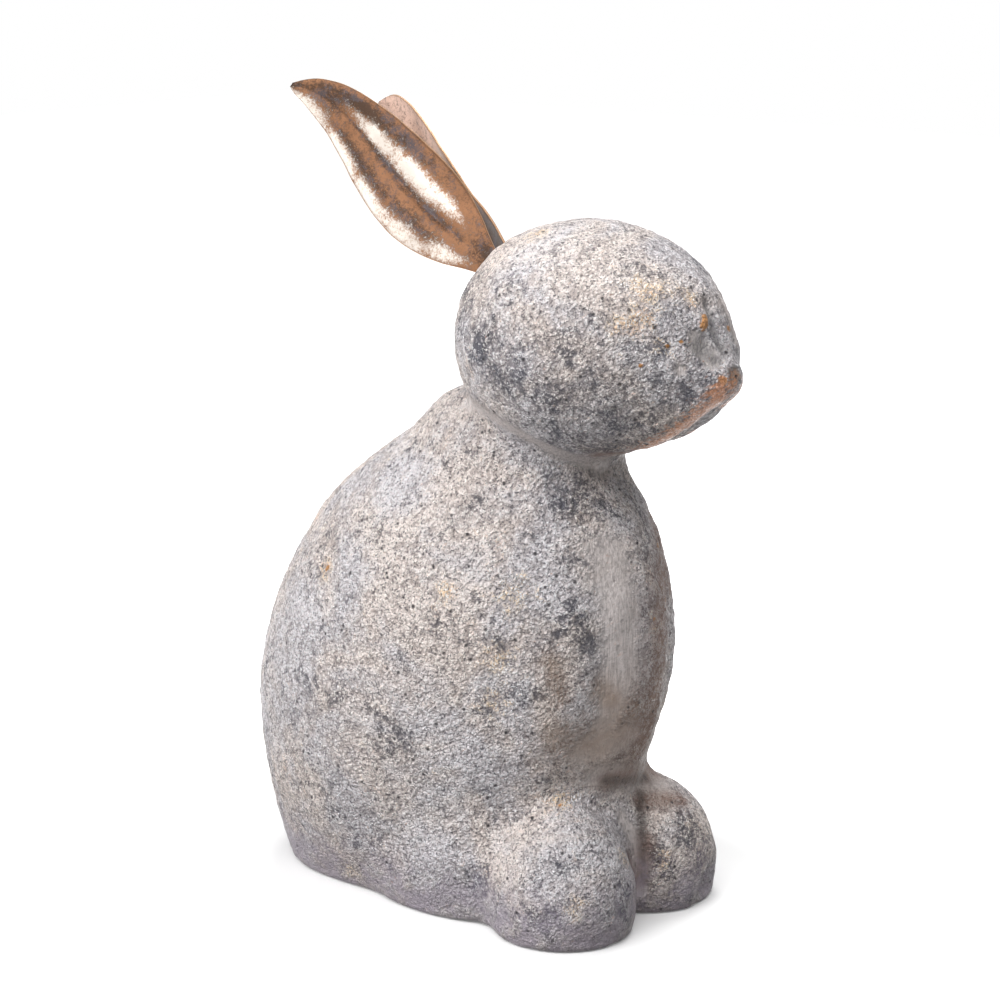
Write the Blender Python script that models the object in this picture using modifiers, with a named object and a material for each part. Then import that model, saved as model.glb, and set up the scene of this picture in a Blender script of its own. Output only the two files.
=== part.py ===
"""Hare sculpture: one rough cast stone body with two pressed sheet-metal ears set in slots.

Metres, +Z up. The hare faces -Y and its right side is -X. The cast stands on the ground at z 0.
"""

import math

import bmesh
import bpy
from mathutils import Matrix, Vector
from mathutils.bvhtree import BVHTree

# Driving dimensions.
STONE_HEIGHT = 0.374
SHEET_THICKNESS = 0.0012
EAR_LENGTH = 0.151
EAR_WIDTH = 0.048
TAB_WIDTH = 0.012
TAB_DEPTH = 0.015
SLOT_CLEARANCE = 0.0003
EAR_STAND_OFF = 0.0010

# Rough forms of the cast, as shares of STONE_HEIGHT. Centres and half sizes are (x, y, z).
TRUNK_CENTRE = (0.0, 0.0230, 0.3206)
TRUNK_HALF_PLAN = (0.2473, 0.3364)
TRUNK_RISE = 0.3987
TRUNK_DROP = 0.4203
TRUNK_LEAN = 0.1975
TRUNK_TAPER = 0.09
BASE_SQUARENESS = 7.0
BASE_FLARE = 0.5
BASE_REACH_POWER = 8
HEAD_CENTRE = (0.0, -0.2350, 0.8360)
HEAD_HALF = (0.1865, 0.2160, 0.1645)
HEAD_TAPER = 0.18
FACE_POINT = 0.40
NECK_CENTRE = (0.0, -0.0720, 0.6580)
NECK_HALF = (0.1360, 0.1640, 0.1080)
PAW_CENTRE = (0.0970, -0.2390, 0.0450)
PAW_HALF = (0.1060, 0.1090, 0.1380)
FOOT_CENTRE = (0.0700, -0.0400, 0.0900)
FOOT_HALF = (0.1340, 0.1950, 0.1900)
BELLY_CENTRE = (0.0, -0.1700, 0.0500)
BELLY_HALF = (0.1200, 0.1100, 0.1400)
WRIST_CENTRE = (0.0, -0.2080, 0.1250)
WRIST_HALF = (0.0650, 0.0750, 0.0850)
NOSE_CENTRE = (0.0, -0.4335, 0.8040)
NOSE_HALF = (0.0400, 0.0300, 0.0290)

# Carving: directions are (x, y, z) on the unit form before it is stretched.
EYE_HOLLOW_AT = (0.27, -0.93, 0.27)
EYE_HOLLOW_SPREAD = (0.20, 0.30)
EYE_HOLLOW_DEPTH = 0.017
CHIN_AT = (0.0, -0.72, -0.69)
CHIN_SPREAD = 0.45
CHIN_DEPTH = 0.004
CHEST_TROUGH_ANGLE = 20.0
CHEST_TROUGH_SPREAD = 7.0
CHEST_TROUGH_DEPTH = 0.030

# Ear set: where each ear leaves the head and how it leans. Angles are in degrees.
EAR_ROOT_X = 0.024
RIGHT_EAR_ROOT_Y = -0.0475
LEFT_EAR_ROOT_Y = -0.0450
RIGHT_EAR_SPLAY = 13.5
LEFT_EAR_SPLAY = 14.8
RIGHT_EAR_RISE = 37.0
LEFT_EAR_RISE = 30.8
EAR_FACE_TURN = 42.0
EAR_TWIST = 26.0
EAR_TWIST_START = 0.3

# Ear blade: (share of the length, share of the width or of the length) from root to tip.
EAR_OUTLINE = ((0.0, 0.27), (0.06, 0.43), (0.15, 0.70), (0.28, 0.94), (0.42, 1.0),
               (0.60, 0.87), (0.76, 0.64), (0.90, 0.41), (0.97, 0.20), (1.0, 0.05))
EAR_SWAY = ((0.0, 0.0), (0.18, -0.004), (0.45, 0.006), (0.78, 0.047), (0.92, 0.034), (1.0, 0.0))
VALLEY_DEPTH = 0.085
VALLEY_SHARPNESS = 0.8
EAR_BOW = 0.035
EAR_FULL_FROM = 0.25
EAR_TIP_FLATTENING = 0.5
EAR_STEPS_LONG = 22
EAR_STEPS_WIDE = 7

# How the rough forms are run together. The voxel is a share of STONE_HEIGHT.
FORM_SEGMENTS = 64
FORM_RINGS = 40
VOXEL = 0.0107
SMOOTH_PASSES = 22
SMOOTH_FACTOR = 0.5
CAST_DECIMATE = 0.15
CUT_MARGIN = 0.02

STONE_COLOUR = (0.42, 0.40, 0.38)
STONE_ROUGHNESS = 0.95
METAL_COLOUR = (0.45, 0.30, 0.20)
METAL_ROUGHNESS = 0.35


def clear_scene():
    for obj in list(bpy.data.objects):
        bpy.data.objects.remove(obj)


def new_collection(name):
    made = bpy.data.collections.new(name)
    bpy.context.scene.collection.children.link(made)
    return made


def material(name, colour, roughness, metallic):
    made = bpy.data.materials.new(name)
    made.use_nodes = True
    shader = made.node_tree.nodes["Principled BSDF"]
    shader.inputs["Base Color"].default_value = (*colour, 1.0)
    shader.inputs["Roughness"].default_value = roughness
    shader.inputs["Metallic"].default_value = metallic
    return made


def share(values):
    return Vector(values) * STONE_HEIGHT


def bump(distance, spread):
    return math.exp(-(distance / spread) ** 2)


def superellipse(across, along, squareness):
    """Radius that turns a unit circle into a squarer outline in the direction given."""
    flat = math.hypot(across, along)
    if flat < 1e-9:
        return 1.0
    power = 2.0 + squareness
    return (abs(across / flat) ** power + abs(along / flat) ** power) ** (-1.0 / power)


def trunk_point(p):
    """The seated body: an egg that leans forwards, narrower in front and fuller at the ground."""
    half_x, half_y = (value * STONE_HEIGHT for value in TRUNK_HALF_PLAN)
    height = p.z * (TRUNK_RISE if p.z > 0 else TRUNK_DROP) * STONE_HEIGHT
    girth = 1.0
    if p.z < 0:
        foot = p.z ** BASE_REACH_POWER
        girth = superellipse(p.x, p.y, BASE_SQUARENESS * foot)
        half_x *= 1.0 + BASE_FLARE * foot
    half_x *= 1.0 + TRUNK_TAPER * p.y
    turn = math.degrees(math.atan2(abs(p.x), -p.y))
    upright = max(0.0, 1.0 - p.z * p.z)
    girth -= CHEST_TROUGH_DEPTH * upright * bump(turn - CHEST_TROUGH_ANGLE, CHEST_TROUGH_SPREAD)
    return Vector((p.x * half_x * girth, p.y * half_y * girth - TRUNK_LEAN * height, height))


def head_point(p):
    """The head: an egg pointed at the face, with two eye hollows and a flatter chin."""
    half = share(HEAD_HALF)
    narrow = 1.0 + HEAD_TAPER * p.y
    pinch = 1.0 - FACE_POINT * min(0.0, p.y) ** 2
    point = Vector((p.x * half.x * narrow * pinch, p.y * half.y, p.z * half.z * narrow))
    eye = Vector(EYE_HOLLOW_AT).normalized()
    wide, tall = EYE_HOLLOW_SPREAD
    cut = 0.0
    if p.y < 0:
        cut += EYE_HOLLOW_DEPTH * bump(abs(p.x) - eye.x, wide) * bump(p.z - eye.z, tall)
    cut += CHIN_DEPTH * bump((p - Vector(CHIN_AT).normalized()).length, CHIN_SPREAD)
    return point - p * cut * STONE_HEIGHT


def ball(half_share):
    """A shape function for a plain stretched ball."""
    half = share(half_share)
    return lambda p: Vector((p.x * half.x, p.y * half.y, p.z * half.z))


def form(name, shape, centre, target):
    """A unit sphere moved point by point by a shape function and set in its place."""
    mesh = bpy.data.meshes.new(name)
    sphere = bmesh.new()
    bmesh.ops.create_uvsphere(sphere, u_segments=FORM_SEGMENTS, v_segments=FORM_RINGS, radius=1.0)
    for vertex in sphere.verts:
        vertex.co = centre + shape(vertex.co.copy())
    sphere.to_mesh(mesh)
    sphere.free()
    obj = bpy.data.objects.new(name, mesh)
    target.objects.link(obj)
    obj.hide_render = True
    obj.display_type = "WIRE"
    return obj


def box(name, low, high, place, target):
    mesh = bpy.data.meshes.new(name)
    cube = bmesh.new()
    bmesh.ops.create_cube(cube, size=1.0)
    for vertex in cube.verts:
        local = Vector(((low[i] + high[i]) / 2 + vertex.co[i] * (high[i] - low[i]) for i in range(3)))
        vertex.co = place @ local
    cube.to_mesh(mesh)
    cube.free()
    obj = bpy.data.objects.new(name, mesh)
    target.objects.link(obj)
    obj.hide_render = True
    obj.display_type = "WIRE"
    return obj


def boolean(obj, tool, operation):
    modifier = obj.modifiers.new(tool.name, "BOOLEAN")
    modifier.solver = "EXACT"
    modifier.operation = operation
    modifier.object = tool


def make_cast(product, tools):
    cast = form("stone_cast", trunk_point, share(TRUNK_CENTRE), product)
    cast.hide_render = False
    cast.display_type = "TEXTURED"
    forms = [
        form("head_form", head_point, share(HEAD_CENTRE), tools),
        form("nose_form", ball(NOSE_HALF), share(NOSE_CENTRE), tools),
        form("neck_form", ball(NECK_HALF), share(NECK_CENTRE), tools),
        form("belly_form", ball(BELLY_HALF), share(BELLY_CENTRE), tools),
        form("wrist_form", ball(WRIST_HALF), share(WRIST_CENTRE), tools),
    ]
    for name, side in (("right", -1.0), ("left", 1.0)):
        for part, centre, half in (("paw", PAW_CENTRE, PAW_HALF), ("foot", FOOT_CENTRE, FOOT_HALF)):
            place = share(centre)
            place.x *= side
            forms.append(form(f"{name}_{part}_form", ball(half), place, tools))
    for one in forms:
        boolean(cast, one, "UNION")
    remesh = cast.modifiers.new("run_together", "REMESH")
    remesh.mode = "VOXEL"
    remesh.voxel_size = VOXEL * STONE_HEIGHT
    remesh.use_smooth_shade = True
    soften = cast.modifiers.new("soften", "SMOOTH")
    soften.iterations = SMOOTH_PASSES
    soften.factor = SMOOTH_FACTOR
    thin_out = cast.modifiers.new("thin_out", "DECIMATE")
    thin_out.ratio = CAST_DECIMATE
    reach = STONE_HEIGHT
    ground = box("ground_cut", (-reach, -reach, -reach), (reach, reach, 0.0), Matrix(), tools)
    boolean(cast, ground, "DIFFERENCE")
    cast.data.materials.append(material("cast_stone", STONE_COLOUR, STONE_ROUGHNESS, 0.0))
    return cast


def smooth_read(points, where):
    """Reads a smooth curve through a few points; each slope follows the point's neighbours."""
    for i in range(len(points) - 1):
        if where <= points[i + 1][0]:
            break
    before = points[max(i - 1, 0)]
    start = points[i]
    end = points[i + 1]
    after = points[min(i + 2, len(points) - 1)]
    span = end[0] - start[0]
    t = (where - start[0]) / span
    slope_start = (end[1] - before[1]) / (end[0] - before[0]) * span
    slope_end = (after[1] - start[1]) / (after[0] - start[0]) * span
    return ((2 * t ** 3 - 3 * t ** 2 + 1) * start[1] + (t ** 3 - 2 * t ** 2 + t) * slope_start
            + (3 * t ** 2 - 2 * t ** 3) * end[1] + (t ** 3 - t ** 2) * slope_end)


def ear_frame(side, splay_angle, rise_angle, root):
    """Local axes of an ear: x across the blade, y out of its face, z from root to tip."""
    splay = math.radians(splay_angle)
    lift = math.radians(rise_angle)
    axis = Vector((side * math.sin(splay) * math.cos(lift), math.cos(splay) * math.cos(lift), math.sin(lift)))
    turn = math.radians(EAR_FACE_TURN)
    face = Vector((side * math.sin(turn), -math.cos(turn), 0.0))
    face = (face - axis * face.dot(axis)).normalized()
    across = face.cross(axis)
    return Matrix.Translation(root) @ Matrix((across, face, axis)).transposed().to_4x4()


def ear_root(cast, side, root_y):
    """The point where the ear leaves the head, found from above on the finished head itself."""
    tree = BVHTree.FromObject(cast, bpy.context.evaluated_depsgraph_get())
    start = share((side * EAR_ROOT_X, root_y, 1.0 + HEAD_HALF[2]))
    hit, _normal, _index, _distance = tree.ray_cast(start, Vector((0.0, 0.0, -1.0)))
    return hit


def blade_point(side, along, across):
    """A point of the bent sheet: two full halves that meet in a valley, bowed to the tip."""
    half_width = smooth_read(EAR_OUTLINE, along) * EAR_WIDTH / 2
    sway = smooth_read(EAR_SWAY, along) * EAR_LENGTH
    fullness = min(1.0, along / EAR_FULL_FROM) ** 2 * (1.0 - EAR_TIP_FLATTENING * along)
    relief = math.sin(math.pi * abs(across) ** VALLEY_SHARPNESS) * VALLEY_DEPTH * half_width * 2
    bow = -EAR_BOW * EAR_LENGTH * math.sin(math.pi * along) * fullness
    x = side * (across * half_width + sway)
    section = Vector((x, relief * fullness + bow, EAR_STAND_OFF + along * EAR_LENGTH))
    twist = math.radians(EAR_TWIST) * max(0.0, along - EAR_TWIST_START)
    return Matrix.Rotation(side * twist, 3, "Z") @ section


def make_ear(name, side, frame, product, metal):
    mesh = bpy.data.meshes.new(name)
    sheet = bmesh.new()
    rows = []
    for depth in (-TAB_DEPTH, -TAB_DEPTH / 2, 0.0):
        rows.append([
            sheet.verts.new(frame @ Vector((side * step / EAR_STEPS_WIDE * TAB_WIDTH / 2, 0.0, depth)))
            for step in range(-EAR_STEPS_WIDE, EAR_STEPS_WIDE + 1)
        ])
    for i in range(EAR_STEPS_LONG + 1):
        along = i / EAR_STEPS_LONG
        rows.append([
            sheet.verts.new(frame @ blade_point(side, along, step / EAR_STEPS_WIDE))
            for step in range(-EAR_STEPS_WIDE, EAR_STEPS_WIDE + 1)
        ])
    for lower, upper in zip(rows, rows[1:]):
        for k in range(len(lower) - 1):
            sheet.faces.new((lower[k], lower[k + 1], upper[k + 1], upper[k]))
    bmesh.ops.recalc_face_normals(sheet, faces=sheet.faces)
    for face in sheet.faces:
        face.smooth = True
    sheet.to_mesh(mesh)
    sheet.free()
    ear = bpy.data.objects.new(name, mesh)
    product.objects.link(ear)
    thickness = ear.modifiers.new("sheet", "SOLIDIFY")
    thickness.thickness = SHEET_THICKNESS
    thickness.offset = 0.0
    thickness.use_even_offset = True
    ear.data.materials.append(metal)
    return ear


def main():
    clear_scene()
    product = new_collection("hare_sculpture")
    tools = new_collection("forms_and_cutters")
    cast = make_cast(product, tools)
    metal = material("ear_metal", METAL_COLOUR, METAL_ROUGHNESS, 1.0)
    ears = (
        ("right_ear", -1.0, RIGHT_EAR_SPLAY, RIGHT_EAR_RISE, ear_root(cast, -1.0, RIGHT_EAR_ROOT_Y)),
        ("left_ear", 1.0, LEFT_EAR_SPLAY, LEFT_EAR_RISE, ear_root(cast, 1.0, LEFT_EAR_ROOT_Y)),
    )
    for name, side, splay, rise, root in ears:
        frame = ear_frame(side, splay, rise, root)
        slack = SLOT_CLEARANCE
        low = (-TAB_WIDTH / 2 - slack, -SHEET_THICKNESS / 2 - slack, -TAB_DEPTH - slack)
        high = (TAB_WIDTH / 2 + slack, SHEET_THICKNESS / 2 + slack, CUT_MARGIN)
        slot = box(name + "_slot", low, high, frame, tools)
        boolean(cast, slot, "DIFFERENCE")
        make_ear(name, side, frame, product, metal)


main()
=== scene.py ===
import math

import bmesh
import bpy
import numpy as np
from mathutils import Matrix, Vector, noise
from mathutils.bvhtree import BVHTree


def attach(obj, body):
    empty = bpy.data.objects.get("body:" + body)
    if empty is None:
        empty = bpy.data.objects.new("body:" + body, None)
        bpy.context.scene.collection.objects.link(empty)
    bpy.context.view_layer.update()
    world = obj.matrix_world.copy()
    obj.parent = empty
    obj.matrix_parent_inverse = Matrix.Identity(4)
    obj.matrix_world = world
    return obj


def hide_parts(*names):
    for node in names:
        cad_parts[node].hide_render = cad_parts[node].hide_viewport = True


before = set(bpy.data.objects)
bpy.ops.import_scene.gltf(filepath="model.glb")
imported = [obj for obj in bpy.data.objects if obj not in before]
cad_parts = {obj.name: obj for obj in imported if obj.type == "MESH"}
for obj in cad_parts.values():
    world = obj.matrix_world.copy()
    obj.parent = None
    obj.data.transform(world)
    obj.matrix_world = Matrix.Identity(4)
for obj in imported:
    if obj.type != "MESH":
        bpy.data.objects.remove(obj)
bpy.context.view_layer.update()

# Camera
# A long lens at the height of a table top, turned 50 degrees from the hare's face towards its
# right side. It comes first because the stains and the painted shade on the stone are placed through it.
CAMERA_TURN = -50.0
CAMERA_TILT = 13.0
CAMERA_DISTANCE = 1.5
CAMERA_TARGET = Vector((0.013416, -0.004291, 0.213))
PHOTO_WIDTH = 1000
SENSOR_WIDTH = 36.0
METRES_PER_PIXEL = 0.00055

turn = math.radians(CAMERA_TURN)
tilt = math.radians(CAMERA_TILT)
to_right = Vector((math.cos(turn), math.sin(turn), 0.0))
to_camera = Vector((math.sin(turn) * math.cos(tilt), -math.cos(turn) * math.cos(tilt), math.sin(tilt)))
to_top = to_camera.cross(to_right)
focal_pixels = CAMERA_DISTANCE / METRES_PER_PIXEL
camera_data = bpy.data.cameras.new("camera")
camera_data.sensor_width = SENSOR_WIDTH
camera_data.lens = focal_pixels * SENSOR_WIDTH / PHOTO_WIDTH
camera = bpy.data.objects.new("camera", camera_data)
bpy.context.scene.collection.objects.link(camera)
camera_turn = Matrix((to_right, to_top, to_camera)).transposed().to_4x4()
camera.matrix_world = Matrix.Translation(CAMERA_TARGET + to_camera * CAMERA_DISTANCE) @ camera_turn
bpy.context.scene.camera = camera


# Stone cast
# The body, head, nose, paws and feet are one hollow cast of sandy stone mortar, left rough from
# the mould and rubbed smooth along the neck, the chest and the foot. Slate-grey wash, ochre and,
# under the chin, copper dust lie on the grain. It stands on its flat underside.

# Where each ear leaves the head and how it leans, in metres and degrees, as on the solids.
EAR_ROOTS = {"right_ear": Vector((-0.008976, -0.017765, 0.345809)),
             "left_ear": Vector((0.008976, -0.01683, 0.344284))}
EAR_SIDES = {"right_ear": -1.0, "left_ear": 1.0}
EAR_SPLAY = {"right_ear": 13.5, "left_ear": 14.8}
EAR_RISE = {"right_ear": 37.0, "left_ear": 30.8}
EAR_FACE_TURN = 42.0
SHEET_THICKNESS = 0.0012
TAB_WIDTH = 0.012
TAB_DEPTH = 0.015
SLOT_CLEARANCE = 0.0003
CUT_MARGIN = 0.02
STONE_VOXEL = 0.00196
MERGE_DISTANCE = 0.00005
SETTLE_ROUNDS = 4
SETTLE_SHARE = 0.5


def ear_place(name):
    """The ear's own axes: x across the blade, y out of its face and z from root to tip."""
    side = EAR_SIDES[name]
    splay = math.radians(EAR_SPLAY[name])
    rise = math.radians(EAR_RISE[name])
    face_turn = math.radians(EAR_FACE_TURN)
    outwards = side * math.sin(splay) * math.cos(rise)
    backwards = math.cos(splay) * math.cos(rise)
    axis = Vector((outwards, backwards, math.sin(rise)))
    face = Vector((side * math.sin(face_turn), -math.cos(face_turn), 0.0))
    face = (face - axis * face.dot(axis)).normalized()
    ways = Matrix((face.cross(axis), face, axis)).transposed().to_4x4()
    return Matrix.Translation(EAR_ROOTS[name]) @ ways


def applied(obj, name):
    """The mesh that an object's modifiers give, with the modifiers gone."""
    ready = obj.evaluated_get(bpy.context.evaluated_depsgraph_get())
    mesh = bpy.data.meshes.new_from_object(ready)
    mesh.name = name
    obj.modifiers.clear()
    obj.data = mesh
    return mesh


# The cast starts from the frame's own solid, with the two ear slots closed for the while.
stone_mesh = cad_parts["stone_cast"].data.copy()
stone = bpy.data.objects.new("stone_body", stone_mesh)
bpy.context.scene.collection.objects.link(stone)
rough = bmesh.new()
rough.from_mesh(stone_mesh)
bmesh.ops.remove_doubles(rough, verts=rough.verts, dist=MERGE_DISTANCE)
in_slot = []
for name in EAR_ROOTS:
    to_local = ear_place(name).inverted()
    for face in rough.faces:
        spot = to_local @ face.calc_center_median()
        inside = abs(spot.x) < TAB_WIDTH / 2 + 2 * SLOT_CLEARANCE and abs(spot.y) < SHEET_THICKNESS
        if inside and -2 * TAB_DEPTH < spot.z < -SHEET_THICKNESS:
            in_slot.append(face)
bmesh.ops.delete(rough, geom=in_slot, context="FACES")
open_edges = [edge for edge in rough.edges if edge.is_boundary]
bmesh.ops.holes_fill(rough, edges=open_edges, sides=0)
bmesh.ops.triangulate(rough, faces=rough.faces)
for face in rough.faces:
    face.smooth = True
rough.to_mesh(stone_mesh)
rough.free()
rounding = stone.modifiers.new("rounding", "SUBSURF")
rounding.levels = rounding.render_levels = 1
fine_skin = stone.modifiers.new("fine_skin", "REMESH")
fine_skin.mode = "VOXEL"
fine_skin.voxel_size = STONE_VOXEL
fine_skin.use_smooth_shade = True
settle = stone.modifiers.new("settle", "SMOOTH")
settle.iterations = SETTLE_ROUNDS
settle.factor = SETTLE_SHARE
stone_mesh = applied(stone, "stone_body")

# Places seen in the photograph, in its pixels, read onto the stone's surface. A spot is
# (across, down, radius) and a path is a radius with the points that it runs through.
SLATE_PATCHES = ((480, 350, 14), (585, 500, 24), (596, 470, 14), (602, 540, 16), (575, 640, 22),
                 (530, 690, 16), (445, 625, 16), (395, 740, 20), (330, 800, 20), (700, 265, 18),
                 (560, 870, 14), (630, 900, 22), (690, 830, 18), (545, 925, 26), (480, 880, 18),
                 (660, 860, 18), (585, 620, 14), (575, 565, 12))
OCHRE_SPOTS = ((650, 290, 24), (640, 318, 18), (618, 325, 14), (513, 596, 22), (498, 660, 20),
               (496, 702, 20), (350, 870, 14), (560, 800, 14), (325, 570, 12), (535, 235, 14),
               (510, 240, 12), (662, 345, 12), (690, 300, 12), (625, 860, 12), (575, 905, 12),
               (655, 620, 14), (445, 590, 12), (660, 860, 14))
ORANGE_SPOTS = ((704, 319, 6), (703, 326, 6), (728, 328, 4), (681, 342, 3), (668, 346, 3),
                (641, 365, 3), (655, 620, 4), (327, 568, 4), (560, 805, 3), (722, 380, 5),
                (658, 545, 4), (666, 600, 4))
# Grime together with painted shade: dark patches under the head and chin, on the chest's shaded right
# side and between the paws.
GRIME_AND_SHADE_PATCHES = ((468, 290, 26), (482, 335, 30), (480, 350, 28), (510, 380, 34), (545, 400, 34),
                 (570, 350, 22), (690, 385, 26), (660, 400, 30), (620, 410, 28), (585, 400, 26),
                 (710, 345, 12), (640, 430, 22), (655, 500, 34), (660, 560, 34), (662, 640, 34),
                 (655, 700, 34), (640, 745, 30), (620, 775, 20), (560, 440, 22), (610, 445, 26),
                 (650, 430, 22), (665, 360, 16), (640, 880, 12), (700, 870, 22), (690, 900, 20),
                 (655, 850, 12))
PALE_PATCHES = ((560, 235, 40), (610, 260, 30), (400, 500, 40), (370, 560, 40), (430, 480, 30),
                (590, 830, 26), (500, 860, 20), (650, 290, 26), (560, 800, 20), (330, 610, 30),
                (310, 740, 20), (540, 560, 46), (560, 700, 34), (480, 760, 34), (540, 740, 30),
                (430, 840, 34), (560, 900, 34), (600, 860, 24), (480, 560, 40), (450, 800, 34),
                (520, 450, 30), (580, 860, 30))
NOSE_BALL = ((735, 374, 9), (734, 380, 7))
SMOOTH_HOLES = ((680, 370, 6), (655, 780, 22))
# Brown paths, partly umber stain and partly painted shade: down the chest's shaded right side, in the
# crease above the paws, under the chin and between the paws.
UMBER_AND_SHADE_PATHS = ((33, (655, 490), (663, 560), (664, 640), (655, 710), (642, 750)),
               (14, (650, 770), (610, 780)), (11, (600, 454), (650, 450)), (10, (646, 840), (640, 880)),
               (12, (680, 800), (640, 800)), (14, (640, 470), (670, 590)))
TAN_PATHS = ((30, (560, 738), (600, 742), (630, 715)), (16, (600, 690), (612, 700)),
             (12, (560, 700), (550, 660)))
# Painted shade in the creases above the paws, between them and under the chin.
CREASE_PATHS = ((8, (604, 780), (620, 782), (644, 777)), (7, (640, 795), (641, 835), (643, 880)),
                (8, (632, 458), (650, 452), (665, 446)))
# Painted shade along the fold beside the nose bridge and in the hollows below it; these places are also
# rubbed smooth.
HOLLOW_PATHS = ((5, (708, 303), (713, 318), (717, 332), (722, 345), (727, 354)),
                (8, (700, 340), (706, 352)), (6, (716, 362), (694, 345)))
RUBBED_PATHS = ((26, (608, 555), (618, 600), (622, 640), (618, 680)), (18, (614, 690), (604, 735)),
                (22, (588, 748), (626, 738)),
                (11, (470, 402), (500, 422), (532, 441), (568, 456), (604, 466)),
                (9, (622, 818), (636, 840), (642, 860), (642, 890)), (18, (600, 775), (640, 778)),
                (9, (695, 338), (703, 350), (712, 360)),
                (6, (720, 300), (727, 320), (732, 335), (735, 346)))
GOLD_PATHS = ((15, (726, 389), (708, 402), (688, 416), (664, 432), (644, 443)),
              (6, (722, 384), (706, 392)))

# Small soft forms, each a height in metres and a path. In order: brow, hollow under the eye,
# cheek, the fold beside the nose bridge in two parts, the bridge, lid, nostril, a dint in the
# crown, the chipped far foot, the groove's rim on the chest, chin and thigh.
SOFT_FORMS = ((0.0016, (22, (650, 303), (660, 303))), (-0.0012, (13, (640, 338), (665, 346))),
              (0.0016, (20, (670, 366), (680, 366))),
              (-0.0026, (6, (708, 303), (713, 318), (718, 333), (725, 349))),
              (-0.0015, (9, (708, 340), (703, 352))),
              (0.0020, (6, (722, 304), (727, 320), (732, 335), (735, 347))),
              (0.0018, (7, (703, 320), (703, 325))), (-0.0012, (6, (716, 364), (719, 365))),
              (-0.0008, (9, (508, 268), (512, 268))),
              (-0.0065, (15, (712, 880), (711, 888), (704, 900))),
              (0.0012, (12, (618, 606), (618, 620))),
              (0.0034, (24, (702, 401), (674, 423), (650, 437))),
              (0.0018, (34, (555, 690), (560, 710))))

surface = BVHTree.FromObject(stone, bpy.context.evaluated_depsgraph_get())
lens_point = camera.matrix_world.translation


def stone_spot(across, down):
    """The point of the stone behind a pixel of the photograph."""
    half = PHOTO_WIDTH / 2
    aim = to_right * (across - half) - to_top * (down - half) - to_camera * focal_pixels
    return surface.ray_cast(lens_point, aim.normalized())[0]


HIDDEN_DEPTH = 0.004


def out_of_sight(place):
    """Whether a place on the stone lies behind the part of it that the photograph shows."""
    sight = place - lens_point
    seen = surface.ray_cast(lens_point, sight.normalized())[0]
    return seen is not None and (seen - lens_point).length < sight.length - HIDDEN_DEPTH


def spread_of(spots, points, both_sides=False):
    """How strongly each point of the stone lies in a group of soft round spots, from 0 to 1. With
    both_sides, each spot is repeated on the far side, where the photograph doesn't show it."""
    total = np.zeros(len(points))
    for across, down, radius in spots:
        middle = stone_spot(across, down)
        if middle is None:
            continue
        middles = [middle]
        twin = Vector((-middle.x, middle.y, middle.z))
        if both_sides and out_of_sight(twin):
            middles.append(twin)
        for place in middles:
            gap = np.linalg.norm(points - np.array(place), axis=1) / (radius * METRES_PER_PIXEL)
            total = np.maximum(total, np.exp(-gap ** 2))
    return total


def spots_along(*paths):
    """Close spots along each path."""
    spots = []
    for radius, *stops in paths:
        for start, end in zip(stops, stops[1:]):
            steps = math.ceil(math.dist(start, end) / (radius / 2))
            for step in range(steps + 1):
                share = step / steps
                across = start[0] + (end[0] - start[0]) * share
                down = start[1] + (end[1] - start[1]) * share
                spots.append((across, down, radius))
    return spots


count = len(stone_mesh.vertices)
points = np.empty(count * 3)
stone_mesh.vertices.foreach_get("co", points)
points = points.reshape(-1, 3)
normals = np.empty(count * 3)
stone_mesh.vertices.foreach_get("normal", normals)
normals = normals.reshape(-1, 3)
smooth_area = spread_of((*SMOOTH_HOLES, *spots_along(*RUBBED_PATHS)), points, both_sides=True)

# The mould left the lowest band of the foot smoother than the rest.
FOOT_BAND_HEIGHT = 0.030
FOOT_BAND_SHARE = 0.6
foot_band = np.clip(1.0 - points[:, 2] / FOOT_BAND_HEIGHT, 0.0, 1.0) * FOOT_BAND_SHARE
smooth_area = np.maximum(smooth_area, foot_band)

# The rough skin: broad lumps, knobs, grains and the small pits of air bubbles.
LUMP_SIZE = 0.034
LUMP_HEIGHT = 0.0009
KNOB_SIZE = 0.011
KNOB_HEIGHT = 0.00055
GRAIN_SIZE = 0.0040
GRAIN_HEIGHT = 0.00045
PIT_SPACING = 0.0115
PIT_RADIUS = 0.0019
PIT_DEPTH = 0.0010
SHALLOWEST_PIT_CELL = 0.35
SMALLEST_PIT = 0.6
CHANCE_STEP = 7.0
RUBBED_SHARE = 0.85
GROUND_FADE = 0.006

relief = np.zeros(count)
for height, form_path in SOFT_FORMS:
    relief += spread_of(spots_along(form_path), points, both_sides=True) * height
for i, (x, y, z) in enumerate(points):
    here = Vector((x, y, z))
    lump = noise.fractal(here / LUMP_SIZE, 1.0, 2.0, 2) * LUMP_HEIGHT
    knob = noise.fractal(here / KNOB_SIZE, 0.8, 2.0, 3) * KNOB_HEIGHT
    grain = noise.noise(here / GRAIN_SIZE) * GRAIN_HEIGHT
    gaps, middles = noise.voronoi(here / PIT_SPACING)
    chance = noise.cell(middles[0] * CHANCE_STEP)
    pit = 0.0
    if chance > SHALLOWEST_PIT_CELL:
        pit = max(0.0, 1.0 - gaps[0] * PIT_SPACING / (PIT_RADIUS * (SMALLEST_PIT + chance)))
    roughness = 1.0 - RUBBED_SHARE * smooth_area[i]
    relief[i] += lump + (knob + grain - PIT_DEPTH * pit) * roughness

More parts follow.
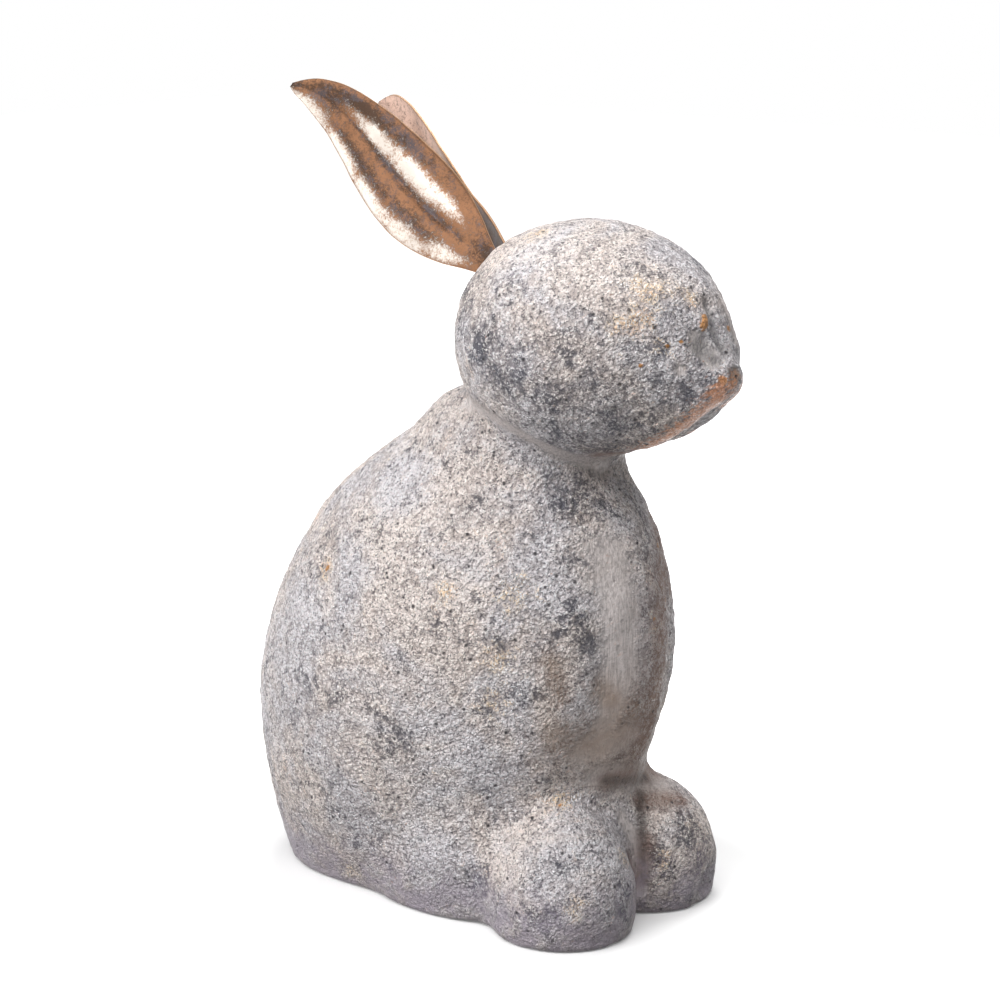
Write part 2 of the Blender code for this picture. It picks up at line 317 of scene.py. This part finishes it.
on_ground = np.clip(points[:, 2] / GROUND_FADE, 0.0, 1.0)
moved = points + normals * (relief * on_ground)[:, None]
moved[:, 2] = np.maximum(moved[:, 2], 0.0)
stone_mesh.vertices.foreach_set("co", moved.reshape(-1))
marks = {"slate": SLATE_PATCHES, "ochre": OCHRE_SPOTS, "orange": ORANGE_SPOTS, "grime_and_shade": GRIME_AND_SHADE_PATCHES,
         "pale": PALE_PATCHES, "nose": NOSE_BALL, "umber_and_shade": spots_along(*UMBER_AND_SHADE_PATHS),
         "tan": spots_along(*TAN_PATHS), "crease": spots_along(*CREASE_PATHS),
         "hollow": spots_along(*HOLLOW_PATHS), "gold": spots_along(*GOLD_PATHS)}
BOTH_SIDES = ("grime_and_shade", "umber_and_shade", "tan", "crease", "hollow", "gold")
mark_values = {label: spread_of(spots, points, label in BOTH_SIDES) for label, spots in marks.items()}
mark_values["rubbed"] = smooth_area
for label, values in mark_values.items():
    layer = stone_mesh.attributes.new(label, "FLOAT", "POINT")
    layer.data.foreach_set("value", values)

# The ear slots are cut again through the finished skin.
slack = SLOT_CLEARANCE
for name in EAR_ROOTS:
    cutter_mesh = bpy.data.meshes.new(name + "_slot")
    block = bmesh.new()
    bmesh.ops.create_cube(block, size=1.0)
    size = Vector((TAB_WIDTH + 2 * slack, SHEET_THICKNESS + 2 * slack, TAB_DEPTH + slack + CUT_MARGIN))
    middle = Vector((0.0, 0.0, (CUT_MARGIN - TAB_DEPTH - slack) / 2))
    bmesh.ops.scale(block, vec=size, verts=block.verts)
    bmesh.ops.translate(block, vec=middle, verts=block.verts)
    bmesh.ops.transform(block, matrix=ear_place(name), verts=block.verts)
    block.to_mesh(cutter_mesh)
    block.free()
    cutter = bpy.data.objects.new(name + "_slot", cutter_mesh)
    bpy.context.scene.collection.objects.link(cutter)
    cut = stone.modifiers.new("slot", "BOOLEAN")
    cut.solver = "EXACT"
    cut.operation = "DIFFERENCE"
    cut.object = cutter
    applied(stone, "stone_body")
    bpy.data.objects.remove(cutter)


class Tone:
    """A socket of a finish. Sums and products on it add Math nodes."""

    def __init__(self, finish, socket):
        self.finish = finish
        self.socket = socket

    def math(self, operation, first, second=0.0):
        return self.finish.add("ShaderNodeMath", {"operation": operation}, {0: first, 1: second})

    def __add__(self, other):
        return self.math("ADD", self, other)

    def __radd__(self, other):
        return self.math("ADD", other, self)

    def __sub__(self, other):
        return self.math("SUBTRACT", self, other)

    def __rsub__(self, other):
        return self.math("SUBTRACT", other, self)

    def __mul__(self, other):
        return self.math("MULTIPLY", self, other)

    def __rmul__(self, other):
        return self.math("MULTIPLY", other, self)

    def __abs__(self):
        return self.math("ABSOLUTE", self)

    def over(self, other):
        return self.math("MAXIMUM", self, other)

    def between(self, low, high):
        """0 below low, 1 above high and a soft step from one to the other."""
        settings = {"interpolation_type": "SMOOTHSTEP"}
        sockets = {"Value": self, "From Min": low, "From Max": high}
        return self.finish.add("ShaderNodeMapRange", settings, sockets)


class Finish:
    """A material's nodes around its Principled shader."""

    def __init__(self, name):
        self.material = bpy.data.materials.new(name)
        self.material.use_nodes = True
        self.tree = self.material.node_tree
        self.shader = self.tree.nodes["Principled BSDF"]

    def put(self, socket, value):
        if isinstance(value, Tone):
            self.tree.links.new(value.socket, socket)
        elif isinstance(value, tuple) and len(value) == 3 and socket.type == "RGBA":
            socket.default_value = (*value, 1.0)
        else:
            socket.default_value = value

    def add(self, kind, settings, sockets, output=0):
        node = self.tree.nodes.new(kind)
        for key, value in settings.items():
            setattr(node, key, value)
        for key, value in sockets.items():
            self.put(node.inputs[key], value)
        return Tone(self, node.outputs[output])

    def place(self):
        return self.add("ShaderNodeTexCoord", {}, {}, "Object")

    def marks(self, label):
        return self.add("ShaderNodeAttribute", {"attribute_name": label}, {}, "Fac")

    def cloud(self, size, detail=3.0, roughness=0.5, bend=0.0, place=None):
        sockets = {"Vector": place or self.place(), "Scale": 1.0 / size, "Detail": detail,
                   "Roughness": roughness, "Distortion": bend}
        return self.add("ShaderNodeTexNoise", {}, sockets)

    def cells(self, size, output="Distance", place=None):
        sockets = {"Vector": place or self.place(), "Scale": 1.0 / size}
        return self.add("ShaderNodeTexVoronoi", {"feature": "F1"}, sockets, output)

    def strokes(self, way, length, width):
        """Brush strokes that run along a direction."""
        aside = way.orthogonal()
        parts = []
        for axis, size in ((way, length), (aside, width), (way.cross(aside), width)):
            along = self.add("ShaderNodeVectorMath", {"operation": "DOT_PRODUCT"},
                             {0: self.place(), 1: tuple(axis.normalized() / size)}, "Value")
            parts.append(along)
        place = self.add("ShaderNodeCombineXYZ", {}, {0: parts[0], 1: parts[1], 2: parts[2]})
        return self.cloud(1.0, 3.0, 0.6, 0.0, place)

    def one_of(self, colour):
        """The first part of a colour, as a number."""
        return self.add("ShaderNodeSeparateColor", {}, {0: colour}, 0)

    def mix(self, factor, first, second):
        return self.add("ShaderNodeMix", {"data_type": "RGBA"}, {0: factor, 6: first, 7: second}, 2)

    def bump(self, height, strength, distance):
        sockets = {"Height": height, "Strength": strength, "Distance": distance}
        return self.add("ShaderNodeBump", {}, sockets)

    def feed(self, **sockets):
        for key, value in sockets.items():
            self.put(self.shader.inputs[key.replace("_", " ")], value)


# The mortar's finish: pale crumbs and painted white glints on darker ground, with clouds of slate wash.
mortar = Finish("cast_mortar")
PALE_GROUND = (0.495, 0.439, 0.424)
DARK_GROUND = (0.115, 0.110, 0.124)
HOLLOW_SHADE_GREY = (0.29, 0.275, 0.26)
CREASE_SHADE = (0.060, 0.045, 0.039)
COOL_HAZE = (0.925, 0.955, 1.015)
WARM_HAZE = (1.04, 1.005, 0.975)
PALE_CRUMB = (0.93, 0.848, 0.826)
GLINT_WHITE = (0.98, 0.94, 0.91)
GREY_CRUMB = (0.70, 0.64, 0.635)
CREAM = (1.0, 0.78, 0.55)
RUST = (0.72, 0.44, 0.26)
STROKE_DARK = (0.43, 0.385, 0.37)
STROKE_PALE = (0.70, 0.635, 0.615)
UMBER_AND_SHADE = (0.24, 0.128, 0.083)
TAN = (0.34, 0.235, 0.17)
ORANGE = (0.62, 0.27, 0.06)
COPPER_DUST = (0.39, 0.175, 0.088)
NOSE_BROWN = (0.19, 0.110, 0.062)
BLACK_PIT = (0.030, 0.028, 0.032)
FOOT_MAUVE = (0.41, 0.355, 0.435)
GRAIN_SPACING = 0.0012
CRUMB_SPACING = 0.0019
CLUMP_SPACING = 0.0042
GLINT_FLECK_SIZE = 0.0010
DIMPLE_SHADOW_SIZE = 0.0012
PIT_CELL = 0.0062
BROAD_CLOUD = 0.050
BLOTCH_SIZE = 0.014
SLATE_CLOUD = 0.013
OCHRE_CLOUD = 0.0075
RUST_CLOUD = 0.022
HAZE_CLOUD = 0.060
FOOT_TINT_FULL = 0.004
FOOT_TINT_END = 0.050
SKIN_DEPTH = 0.0028
DRY_ROUGHNESS = 0.66
TROUGH_STROKES = (Vector((0.0, 0.0, 1.0)), 0.010, 0.0009)
NOSE_STROKES = (-0.82 * to_right - 0.57 * to_top, 0.007, 0.0010)
HOLLOW_STROKES = (0.5 * to_right + 0.86 * to_top, 0.006, 0.0008)

rubbed = mortar.marks("rubbed")
grime_and_shade = mortar.marks("grime_and_shade")
hollow = mortar.marks("hollow")
broad = mortar.cloud(BROAD_CLOUD, 5.0, 0.65)
blotch = mortar.cloud(BLOTCH_SIZE, 4.0, 0.6, 0.4)
clump = mortar.cloud(CLUMP_SPACING, 3.0, 0.65, 0.3)
waves = {"Vector": mortar.place(), "Scale": 1.0 / CLUMP_SPACING}
wave = mortar.add("ShaderNodeTexNoise", {}, waves, 1)
wavy = mortar.add("ShaderNodeVectorMath", {"operation": "MULTIPLY_ADD"},
                  {0: wave, 1: (CRUMB_SPACING, CRUMB_SPACING, CRUMB_SPACING), 2: mortar.place()})
crumb_tops = 0.95 - mortar.cells(CRUMB_SPACING, place=wavy)
grain = 0.55 * mortar.cloud(GRAIN_SPACING, 2.0, 0.6) + 0.45 * crumb_tops
height = 0.55 * grain + 0.45 * clump

# The grime patches deepen the slate ground, partly as grime and partly as painted shade.
dark_share = mortar.cloud(SLATE_CLOUD, 6.0, 0.75, 0.5) + 0.16 * mortar.marks("slate") + 0.08 * grime_and_shade
dark_share = dark_share.between(0.51, 0.69)
cover = 0.6 * (broad - 0.5) + 0.4 * (blotch - 0.5) + 0.12 * mortar.marks("pale")
cover = cover - 0.10 * dark_share - 0.05 * grime_and_shade
crumb_share = (height + 0.35 * cover).between(0.40, 0.57)
ground = mortar.mix(dark_share, PALE_GROUND, DARK_GROUND)
# The ground darkens in the grime patches, partly as grime and partly as painted shade.
ground = mortar.mix(0.35 * grime_and_shade, ground, DARK_GROUND)
crumb = mortar.mix(0.6 * dark_share, PALE_CRUMB, GREY_CRUMB)
ochre_cloud = mortar.cloud(OCHRE_CLOUD, 3.0, 0.6)
ochre_share = 0.34 * mortar.marks("ochre") + 0.75 * clump + 0.55 * ochre_cloud - 0.40
ochre_share = ochre_share.between(0.33, 0.66)
crumb = mortar.mix(ochre_share, crumb, CREAM)
rust_share = (mortar.cloud(RUST_CLOUD, 4.0, 0.7, 0.4) + 0.16 * mortar.marks("ochre")).between(0.56, 0.72)
crumb = mortar.mix(0.55 * rust_share * blotch.between(0.4, 0.6), crumb, RUST)
colour = mortar.mix(crumb_share, ground, crumb)
# Tiny white flecks on the grains are painted glints; they also stand a little proud and are glossier.
glint_fleck_share = mortar.cloud(GLINT_FLECK_SIZE, 2.0, 0.6) + 0.10 * (crumb_share - 0.5) + 0.22 * (clump - 0.5)
glint_fleck_share = glint_fleck_share.between(0.56, 0.60)
colour = mortar.mix(0.95 * glint_fleck_share, colour, GLINT_WHITE)
# Tiny dark dimples are painted fine shadow between the grains; they also sink a little.
dimple_shadow_share = mortar.cloud(DIMPLE_SHADOW_SIZE, 2.0, 0.5, 0.3) + 0.06 * dark_share - 0.22 * (clump - 0.5)
dimple_shadow_share = dimple_shadow_share.between(0.59, 0.64)
colour = mortar.mix(0.8 * dimple_shadow_share, colour, DARK_GROUND)
haze = mortar.mix(mortar.cloud(HAZE_CLOUD, 4.0, 0.6, 0.5).between(0.40, 0.60), COOL_HAZE, WARM_HAZE)
tint = {"data_type": "RGBA", "blend_type": "MULTIPLY"}
colour = mortar.add("ShaderNodeMix", tint, {0: 1.0, 6: colour, 7: haze}, 2)
orange_share = (0.65 * mortar.marks("orange") + 0.55 * grain + 0.4 * clump).between(0.72, 0.92)
colour = mortar.mix(0.9 * orange_share, colour, ORANGE)
strokes = mortar.strokes(*TROUGH_STROKES)
rubbed_colour = mortar.mix(strokes.between(0.35, 0.65), STROKE_DARK, STROKE_PALE)
rubbed_share = (1.4 * rubbed + 1.2 * (blotch - 0.5) + 1.0 * (clump - 0.5)).between(0.15, 1.15)
colour = mortar.mix(0.85 * rubbed_share, colour, rubbed_colour)
# Umber brown laid on in strokes: partly stain, partly painted shade on the shaded side and in the
# creases.
umber_and_shade_share = mortar.marks("umber_and_shade") * (0.70 + 0.9 * (0.5 * strokes + 0.5 * blotch - 0.3))
tan_share = mortar.marks("tan") * (0.60 + 1.6 * (0.6 * strokes + 0.4 * blotch - 0.4))
colour = mortar.mix(0.85 * tan_share, colour, TAN)
colour = mortar.mix(0.80 * umber_and_shade_share, colour, UMBER_AND_SHADE)
# The hollows by the nose are painted dark, striped along the fold: painted shade.
hollow_strokes = mortar.strokes(*HOLLOW_STROKES)
hollow_shade_colour = mortar.mix(hollow_strokes.between(0.4, 0.6), DARK_GROUND, HOLLOW_SHADE_GREY)
colour = mortar.mix(0.85 * hollow, colour, hollow_shade_colour)
# The creases are painted almost black: painted shade.
colour = mortar.mix(mortar.marks("crease") * (0.65 + 0.8 * (clump - 0.3)), colour, CREASE_SHADE)
above_ground = mortar.add("ShaderNodeSeparateXYZ", {}, {0: mortar.place()}, 2)
foot_share = (1.0 - above_ground.between(FOOT_TINT_FULL, FOOT_TINT_END)) * blotch.between(0.30, 0.60)
colour = mortar.mix(0.7 * foot_share, colour, FOOT_MAUVE)
nose_share = (mortar.marks("nose") + 0.9 * (clump - 0.5)).between(0.25, 0.80)
colour = mortar.mix(0.85 * nose_share, colour, NOSE_BROWN)
dust_strokes = mortar.strokes(*NOSE_STROKES)
dust_share = 0.66 * mortar.marks("gold") + 1.5 * (dust_strokes - 0.5) + 1.0 * (clump - 0.5)
dust_share = dust_share.between(0.20, 0.62)
colour = mortar.mix(0.9 * dust_share, colour, COPPER_DUST)
pit_cell = mortar.cells(PIT_CELL)
pit_pick = mortar.one_of(mortar.cells(PIT_CELL, "Color"))
pit_share = (1.0 - pit_cell.between(0.06, 0.16 + 0.12 * blotch)) * pit_pick.between(0.50, 0.60)
pit_share = pit_share * (1.0 - 0.6 * rubbed_share)
colour = mortar.mix(0.9 * pit_share, colour, BLACK_PIT)
rough_share = 1.0 - 0.85 * (rubbed_share.over(nose_share).over(hollow))
skin_height = (grain + 0.9 * clump + 0.3 * glint_fleck_share - 0.4 * dimple_shadow_share) * rough_share
skin_height = skin_height - 0.4 * pit_share + 0.15 * rubbed_share * strokes
skin = mortar.bump(skin_height, 1.0, SKIN_DEPTH)
gloss = 0.14 * crumb_share + 0.26 * glint_fleck_share + 0.18 * crumb_share * ochre_share
gloss = gloss + 0.20 * dust_share + 0.12 * hollow + 0.08 * rubbed
mortar.feed(Base_Color=colour, Roughness=DRY_ROUGHNESS - gloss, Normal=skin, Metallic=0.4 * dust_share,
            Specular_IOR_Level=0.4)
stone.data.materials.clear()
stone.data.materials.append(mortar.material)
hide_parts("stone_cast")
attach(stone, "root")


# Ears
# Each ear is one leaf cut from thin sheet and pressed over a form, so that two full halves meet
# in a sharp valley. Its narrow root has a tab that sits in a slot of the head. The metal has a
# copper-brown patina, rubbed back to a pale champagne on the crowns and along the edges; these pale
# bands are painted reflections as well as rubbed metal, and the valley and other shaded parts carry
# painted shade.
EAR_LENGTH = 0.151
EAR_WIDTH = 0.048
EAR_STAND_OFF = 0.0010
EAR_TWIST = 26.0
EAR_TWIST_START = 0.3
EAR_OUTLINE = ((0.0, 0.27), (0.06, 0.43), (0.15, 0.70), (0.28, 0.94), (0.42, 1.0),
               (0.60, 0.87), (0.76, 0.64), (0.90, 0.41), (0.97, 0.20), (1.0, 0.05))
EAR_SWAY = ((0.0, 0.0), (0.18, -0.004), (0.45, 0.006), (0.78, 0.047), (0.92, 0.034), (1.0, 0.0))
VALLEY_DEPTH = 0.085
VALLEY_SHARPNESS = 0.8
EAR_BOW = 0.035
EAR_FULL_FROM = 0.25
EAR_TIP_FLATTENING = 0.5
EAR_STEPS_LONG = 96
EAR_STEPS_WIDE = 24
TAB_STEPS = 6
ROUNDING = 1e-6
EDGE_WAVER = 0.00035
WAVER_LENGTH = 0.012
DENT_HEIGHT = 0.00025
DENT_SIZE = 0.010
ROOT_STIFFNESS = 6.0


def smooth_read(curve, where):
    """Reads a smooth curve through a few points; each slope follows the point's neighbours."""
    for i in range(len(curve) - 1):
        if where <= curve[i + 1][0]:
            break
    before = curve[max(i - 1, 0)]
    start = curve[i]
    end = curve[i + 1]
    after = curve[min(i + 2, len(curve) - 1)]
    span = end[0] - start[0]
    t = (where - start[0]) / span
    slope_start = (end[1] - before[1]) / (end[0] - before[0]) * span
    slope_end = (after[1] - start[1]) / (after[0] - start[0]) * span
    return ((2 * t ** 3 - 3 * t ** 2 + 1) * start[1] + (t ** 3 - 2 * t ** 2 + t) * slope_start
            + (3 * t ** 2 - 2 * t ** 3) * end[1] + (t ** 3 - t ** 2) * slope_end)


def blade_point(side, along, across):
    """A point of the pressed sheet, with the small dents and uneven edge of hand work."""
    half_width = smooth_read(EAR_OUTLINE, along) * EAR_WIDTH / 2
    sway = smooth_read(EAR_SWAY, along) * EAR_LENGTH
    fullness = min(1.0, along / EAR_FULL_FROM) ** 2 * (1.0 - EAR_TIP_FLATTENING * along)
    relief = math.sin(math.pi * abs(across) ** VALLEY_SHARPNESS) * VALLEY_DEPTH * half_width * 2
    bow = -EAR_BOW * EAR_LENGTH * math.sin(math.pi * along) * fullness
    x = side * (across * half_width + sway)
    spot = Vector((x, relief * fullness + bow, EAR_STAND_OFF + along * EAR_LENGTH))
    free = min(1.0, along * ROOT_STIFFNESS)
    edge_place = Vector((across * 2.0, side * 3.0, spot.z / WAVER_LENGTH))
    spot.y += noise.noise(Vector((x, side, spot.z)) / DENT_SIZE) * DENT_HEIGHT * free
    spot.x += noise.noise(edge_place) * EDGE_WAVER * abs(across) * free
    twist = math.radians(EAR_TWIST) * max(0.0, along - EAR_TWIST_START)
    return Matrix.Rotation(side * twist, 3, "Z") @ spot


# Where the ear is painted pale, dark or pink, as (along, across, reach along, reach across,
# strength): pale for rubbed metal together with painted reflections, dark for painted shade, and pink
# for pink patina together with painted light on the far ear. Across runs from -1 at the outer edge to 1
# at the inner edge.
# Pale spots: rubbed metal together with painted reflections on the crowns and edges.
EAR_WEAR_AND_SHEEN = {
    "right_ear": ((0.62, 0.28, 0.15, 0.22, 1.0), (0.42, 0.32, 0.16, 0.24, 1.15),
                  (0.28, 0.38, 0.10, 0.20, 0.9), (0.90, -0.85, 0.12, 0.50, 0.9),
                  (0.70, -0.90, 0.14, 0.30, 1.0), (0.50, -0.90, 0.14, 0.28, 1.0),
                  (0.32, -0.86, 0.14, 0.28, 0.9), (0.16, -0.70, 0.09, 0.34, 0.8)),
    "left_ear": ((0.52, 0.75, 0.08, 0.20, 0.5), (0.50, -0.85, 0.30, 0.30, 0.9)),
}
# Painted shade: the valley, the margins turned from the light, the tip and the root.
EAR_SHADE = {
    "right_ear": ((0.50, 0.0, 0.28, 0.09, 1.0), (0.30, 0.0, 0.20, 0.09, 0.9),
                  (0.74, 0.62, 0.18, 0.22, 1.1), (0.56, 0.72, 0.20, 0.18, 0.8),
                  (0.60, -0.52, 0.22, 0.16, 0.8), (0.32, -0.48, 0.20, 0.16, 0.7),
                  (0.86, 0.20, 0.08, 0.60, 0.8), (0.03, 0.30, 0.06, 0.60, 1.0),
                  (1.0, 0.0, 0.05, 1.0, 0.7)),
    "left_ear": ((0.10, 0.30, 0.14, 0.80, 1.0), (0.30, 0.50, 0.16, 0.60, 0.5),
                 (0.45, 0.20, 0.10, 0.40, 0.3)),
}
# Pink patina together with painted light on the far ear's top and inner side.
EAR_PINK_AND_LIGHT = {
    "right_ear": (),
    "left_ear": ((0.88, 0.40, 0.22, 1.00, 1.0), (0.62, 0.70, 0.14, 0.50, 0.8)),
}


def oval_spread(spots, along, across):
    """How strongly a point of the ear lies in a group of soft oval spots, from 0 to about 1."""
    total = 0.0
    for middle_along, middle_across, reach_along, reach_across, strength in spots:
        gap_along = (along - middle_along) / reach_along
        gap_across = (across - middle_across) / reach_across
        total = max(total, strength * math.exp(-(gap_along ** 2 + gap_across ** 2)))
    return total


# The patina: copper brown, with painted shade where the presses meet and on the other shaded parts,
# and pale champagne where it is rubbed and where painted reflections lie.
ear_metal = Finish("ear_patina")
CHAMPAGNE = (0.48, 0.43, 0.385)
# Pink copper made light: pink patina with painted light.
LIT_PINK_COPPER = (0.60, 0.41, 0.33)
COPPER_BROWN = (0.165, 0.080, 0.041)
DARK_BROWN = (0.030, 0.019, 0.014)
BLUE_GREY = (0.040, 0.038, 0.045)
BRIGHT_COPPER = (0.50, 0.31, 0.19)
MOTTLE_SIZE = 0.0040
SPECK_SIZE = 0.0010
STEEL_SIZE = 0.010
RIM_FROM = 0.965
RIM_FULL = 0.995
PATINA_DEPTH = 0.0004
PATINA_ROUGHNESS = 0.48
across_ear = ear_metal.marks("across")
wear_and_sheen = ear_metal.marks("wear_and_sheen")
shade = ear_metal.marks("shade")
pink_and_light = ear_metal.marks("pink_and_light")
mottle = ear_metal.cloud(MOTTLE_SIZE, 6.0, 0.78, 0.4)
speck = ear_metal.cloud(SPECK_SIZE, 3.0, 0.75)
steel = ear_metal.cloud(STEEL_SIZE, 6.0, 0.75, 0.5)
# Pale champagne where the metal is rubbed and where painted reflections lie.
rub_and_sheen = (wear_and_sheen + 1.5 * (mottle - 0.5) + 1.3 * (speck - 0.5)).between(0.22, 0.95)
# Painted shade from the shade spots, mixed with dark patina mottle.
dark_share = (0.68 * shade + 1.9 * (mottle - 0.5) + 1.3 * (speck - 0.5) + 0.24).between(0.12, 0.80)
dark_colour = ear_metal.mix(steel.between(0.47, 0.56), DARK_BROWN, BLUE_GREY)
metal_colour = ear_metal.mix(pink_and_light, COPPER_BROWN, LIT_PINK_COPPER)
metal_colour = ear_metal.mix(0.88 * dark_share, metal_colour, dark_colour)
metal_colour = ear_metal.mix(rub_and_sheen, metal_colour, CHAMPAGNE)
rim = abs(across_ear).between(RIM_FROM, RIM_FULL)
metal_colour = ear_metal.mix(0.8 * rim, metal_colour, BRIGHT_COPPER)
metal_skin = ear_metal.bump(mottle + 0.4 * speck, 0.35, PATINA_DEPTH)
ear_metal.feed(Base_Color=metal_colour, Metallic=0.85, Roughness=PATINA_ROUGHNESS - 0.10 * rub_and_sheen,
               Normal=metal_skin)

for name, side in EAR_SIDES.items():
    ear_mesh = bpy.data.meshes.new(name + "_leaf")
    sheet = bmesh.new()
    steps_long = EAR_STEPS_LONG + TAB_STEPS
    bmesh.ops.create_grid(sheet, x_segments=EAR_STEPS_WIDE, y_segments=steps_long, size=1.0)
    across_layer = sheet.verts.layers.float.new("across")
    wear_and_sheen_layer = sheet.verts.layers.float.new("wear_and_sheen")
    shade_layer = sheet.verts.layers.float.new("shade")
    pink_and_light_layer = sheet.verts.layers.float.new("pink_and_light")
    tab_share = TAB_STEPS / steps_long
    for vertex in sheet.verts:
        across = vertex.co.x
        step = (vertex.co.y + 1.0) / 2
        along = (step - tab_share) / (1.0 - tab_share)
        if along < -ROUNDING:
            depth = along / tab_share * (1.0 - tab_share) * TAB_DEPTH
            vertex.co = Vector((side * across * TAB_WIDTH / 2, 0.0, depth))
        else:
            vertex.co = blade_point(side, min(1.0, max(0.0, along)), across)
        vertex[across_layer] = across
        vertex[wear_and_sheen_layer] = oval_spread(EAR_WEAR_AND_SHEEN[name], along, across)
        vertex[shade_layer] = oval_spread(EAR_SHADE[name], along, across)
        vertex[pink_and_light_layer] = oval_spread(EAR_PINK_AND_LIGHT[name], along, across)
    bmesh.ops.transform(sheet, matrix=ear_place(name), verts=sheet.verts)
    bmesh.ops.recalc_face_normals(sheet, faces=sheet.faces)
    for face in sheet.faces:
        face.smooth = True
    sheet.to_mesh(ear_mesh)
    sheet.free()
    ear = bpy.data.objects.new(name + "_leaf", ear_mesh)
    bpy.context.scene.collection.objects.link(ear)
    gauge = ear.modifiers.new("sheet", "SOLIDIFY")
    gauge.thickness = SHEET_THICKNESS
    gauge.offset = 0.0
    gauge.use_even_offset = True
    ear.data.materials.append(ear_metal.material)
    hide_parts(name)
    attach(ear, "root")


# Floor and light
# A plain white table top under a tent of soft lamps: most light comes from above and from the
# left, and little comes back up from below. What the lens sees of the room is plain white.
FLOOR_SIZE = 8.0
floor_mesh = bpy.data.meshes.new("floor")
table = bmesh.new()
bmesh.ops.create_grid(table, x_segments=1, y_segments=1, size=FLOOR_SIZE / 2)
table.to_mesh(floor_mesh)
table.free()
floor = bpy.data.objects.new("floor", floor_mesh)
bpy.context.scene.collection.objects.link(floor)
FLOOR_GLOW = 0.12
FAR_GLOW = 1.0
FOOT_MIDDLE = (0.0, -0.017, 0.0)
FOOT_REACH = (0.10, 0.155, 1.0)
WHITE_FROM = 1.25
WHITE_ALL = 2.0
FLOOR_WHITE = (0.90, 0.90, 0.90)
FLOOR_BOUNCE = (0.20, 0.20, 0.20)
white_top = Finish("white_table")
lens_ray = white_top.add("ShaderNodeLightPath", {}, {}, "Is Camera Ray")
mirror_ray = white_top.add("ShaderNodeLightPath", {}, {}, "Is Glossy Ray")
lens_ray = lens_ray.over(mirror_ray)
from_foot = white_top.add("ShaderNodeVectorMath", {"operation": "SUBTRACT"},
                          {0: white_top.place(), 1: FOOT_MIDDLE})
from_foot = white_top.add("ShaderNodeVectorMath", {"operation": "DIVIDE"},
                          {0: from_foot, 1: FOOT_REACH})
foot_ways = white_top.add("ShaderNodeVectorMath", {"operation": "LENGTH"}, {0: from_foot}, "Value")
glow = FLOOR_GLOW + (FAR_GLOW - FLOOR_GLOW) * foot_ways.between(WHITE_FROM, WHITE_ALL)
white_top.feed(Base_Color=white_top.mix(lens_ray, FLOOR_BOUNCE, FLOOR_WHITE), Roughness=0.9,
               Emission_Color=white_top.mix(lens_ray * glow, (0.0, 0.0, 0.0), (1.0, 1.0, 1.0)),
               Emission_Strength=1.0)
floor.data.materials.append(white_top.material)

# Each lamp is (name, right, up, towards the camera, watts), with its direction from the hare.
LAMPS = (
    ("left_lamp", -1.0, 0.15, 0.2, 11.4),
    ("front_top_lamp", 0.0, 0.8, 0.8, 13.8),
    ("left_front_lamp", -0.7, 0.3, 0.7, 6.8),
    ("right_top_lamp", 0.7, 0.7, 0.2, 2.6),
    ("back_top_lamp", 0.1, 0.9, -0.4, 23.0),
    ("left_top_lamp", -0.6, 0.7, 0.6, 15.9),
)
LAMP_DISTANCE = 1.8
LAMP_SIZE = 1.0
LIT_MIDDLE = Vector((0.0, 0.0, 0.2))
for name, right, up, near, power in LAMPS:
    lamp_data = bpy.data.lights.new(name, "AREA")
    lamp_data.size = LAMP_SIZE
    lamp_data.energy = power
    lamp = bpy.data.objects.new(name, lamp_data)
    bpy.context.scene.collection.objects.link(lamp)
    toward = (to_right * right + Vector((0.0, 0.0, up)) + to_camera * near).normalized()
    lamp.location = LIT_MIDDLE + toward * LAMP_DISTANCE
    lamp.rotation_euler = (-toward).to_track_quat("-Z", "Y").to_euler()

ROOM_LIGHT = 0.117
room = bpy.data.worlds.new("studio")
room.use_nodes = True
bpy.context.scene.world = room
nodes = room.node_tree.nodes
links = room.node_tree.links
fill = nodes["Background"]
fill.inputs["Color"].default_value = (1.0, 1.0, 1.0, 1.0)
fill.inputs["Strength"].default_value = ROOM_LIGHT
MIRRORED_ROOM = 0.80
white = nodes.new("ShaderNodeBackground")
mirrored = nodes.new("ShaderNodeBackground")
rays = nodes.new("ShaderNodeLightPath")
choice = nodes.new("ShaderNodeMixShader")
mirror_choice = nodes.new("ShaderNodeMixShader")
links.new(rays.outputs["Is Glossy Ray"], mirror_choice.inputs[0])
links.new(fill.outputs[0], mirror_choice.inputs[1])
links.new(mirrored.outputs[0], mirror_choice.inputs[2])
links.new(rays.outputs["Is Camera Ray"], choice.inputs[0])
links.new(mirror_choice.outputs[0], choice.inputs[1])
links.new(white.outputs[0], choice.inputs[2])
links.new(choice.outputs[0], nodes["World Output"].inputs["Surface"])
white.inputs["Color"].default_value = (1.0, 1.0, 1.0, 1.0)
mirrored.inputs["Color"].default_value = (1.0, 1.0, 1.0, 1.0)
mirrored.inputs["Strength"].default_value = MIRRORED_ROOM
bpy.context.scene.view_settings.view_transform = "Standard"
